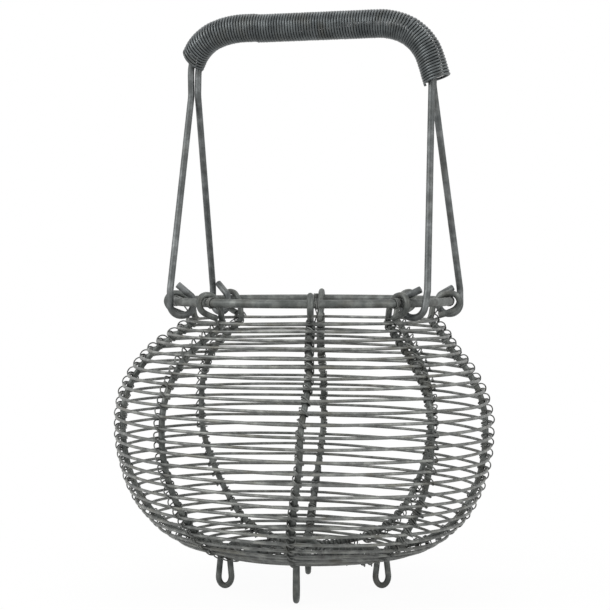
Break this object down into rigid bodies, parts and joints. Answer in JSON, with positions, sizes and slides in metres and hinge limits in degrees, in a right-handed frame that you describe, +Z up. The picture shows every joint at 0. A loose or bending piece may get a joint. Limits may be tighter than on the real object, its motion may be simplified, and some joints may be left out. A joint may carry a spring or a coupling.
{
  "type": "wire onion basket",
  "caption": "Round-bellied open wire basket with a hooked, coil-gripped carrying handle, standing on looped wire feet; holds onions and other vegetables.",
  "frame": {"origin": "on the floor, under the middle of the belly", "axes": "-Y is the front, +X is the right seen from the front, +Z is up"},
  "size_m": [0.2792, 0.2784, 0.4287],
  "materials": {
    "rib_steel": "aged zinc, dark grey, matt",
    "row_steel": "aged zinc, grey, matt",
    "rim_steel": "aged zinc, rubbed lighter",
    "bail_steel": "aged zinc, dark grey",
    "grip_steel": "aged zinc, dark grey"
  },
  "bodies": {
    "basket": {"rib_front_rear": "rib_steel", "rib_right_left": "rib_steel", "rib_front_right": "rib_steel", "rib_rear_right": "rib_steel", "rib_rear_left": "rib_steel", "rib_front_left": "rib_steel", "weave_row_01": "row_steel", "weave_row_02": "row_steel", "weave_row_03": "row_steel", "weave_row_04": "row_steel", "weave_row_05": "row_steel", "weave_row_06": "row_steel", "weave_row_07": "row_steel", "weave_row_08": "row_steel", "weave_row_09": "row_steel", "weave_row_10": "row_steel", "weave_row_11": "row_steel", "weave_row_12": "row_steel", "weave_row_13": "row_steel", "weave_row_14": "row_steel", "weave_row_15": "row_steel", "weave_row_16": "row_steel", "weave_row_17": "row_steel", "weave_row_18": "row_steel", "weave_row_19": "row_steel", "weave_row_20": "row_steel", "weave_row_21": "row_steel", "weave_row_22": "row_steel", "weave_row_23": "row_steel", "weave_row_24": "row_steel", "weave_row_25": "row_steel", "weave_row_26": "row_steel", "weave_row_27": "row_steel", "weave_row_28": "row_steel", "weave_row_29": "row_steel", "weave_row_30": "row_steel", "weave_row_31": "row_steel", "weave_row_32": "row_steel", "weave_row_33": "row_steel"},
    "rim": {"rim_hoop": "rim_steel"},
    "handle": {"front_bail": "bail_steel", "rear_bail": "bail_steel", "grip_coil": "grip_steel"}
  },
  "joints": [
    {"name": "handle_turn", "type": "hinge", "parent": "basket", "child": "rim", "pos_m": [0.0065, 0, 0.2142], "axis": [0, 0, 1], "range_deg": [-1, 22]},
    {"name": "handle_lift", "type": "slide", "parent": "rim", "child": "handle", "axis": [0, 0, 1], "range_m": [0, 0.003]}
  ]
}
